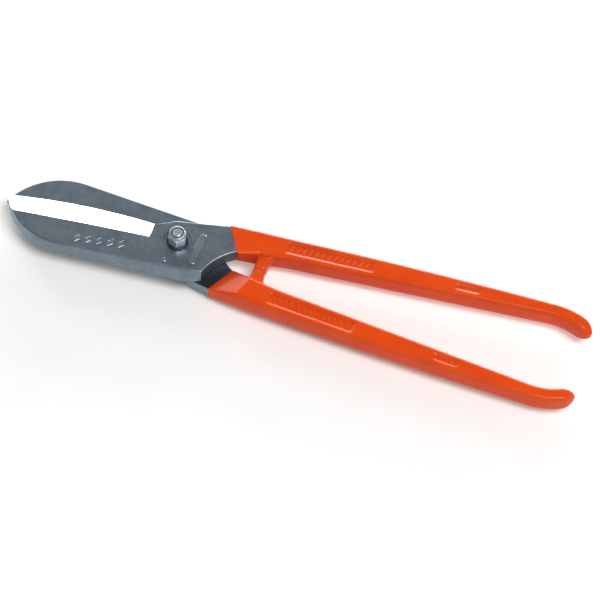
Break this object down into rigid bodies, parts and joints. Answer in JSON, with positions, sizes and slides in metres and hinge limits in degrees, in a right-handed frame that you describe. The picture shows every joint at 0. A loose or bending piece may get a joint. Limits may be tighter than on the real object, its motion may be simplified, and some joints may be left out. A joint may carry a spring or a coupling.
{
  "type": "tin snips",
  "caption": "Straight forged tin snips: crossed blades with ground bevels on a bolted pivot, stop lugs behind it, and long coated handles that curl inward at their ends.",
  "frame": {"origin": "centre of the closed snips in plan, at the level of the pivot bolt's head, which is their lowest point when they lie nut side up", "axes": "+X from the blade tips towards the handle ends, +Y across the tool towards the front half's handle, +Z along the pivot axis towards the nut"},
  "size_m": [0.3052, 0.0554, 0.0263],
  "materials": {
    "forged_steel": "dark blue-grey oxide on drop-forged steel, cutting bevels ground bright",
    "handle_coat": "glossy orange dip coat",
    "plated_steel": "bright zinc plate",
    "dark_washer": "black oxide",
    "insert_nylon": "moulded nylon"
  },
  "bodies": {
    "front_half": {"front_forging": "forged_steel", "front_handle_coat": "handle_coat"},
    "rear_half": {"rear_forging": "forged_steel", "rear_handle_coat": "handle_coat", "pivot_bolt": "plated_steel", "pivot_washer": "dark_washer", "lock_nut": "plated_steel", "nut_insert": "insert_nylon"}
  },
  "joints": [
    {"name": "blade_pivot", "type": "hinge", "parent": "front_half", "child": "rear_half", "pos_m": [-0.05978, 0, 0.01032], "axis": [0, 0, -1], "range_deg": [0, 60]}
  ]
}
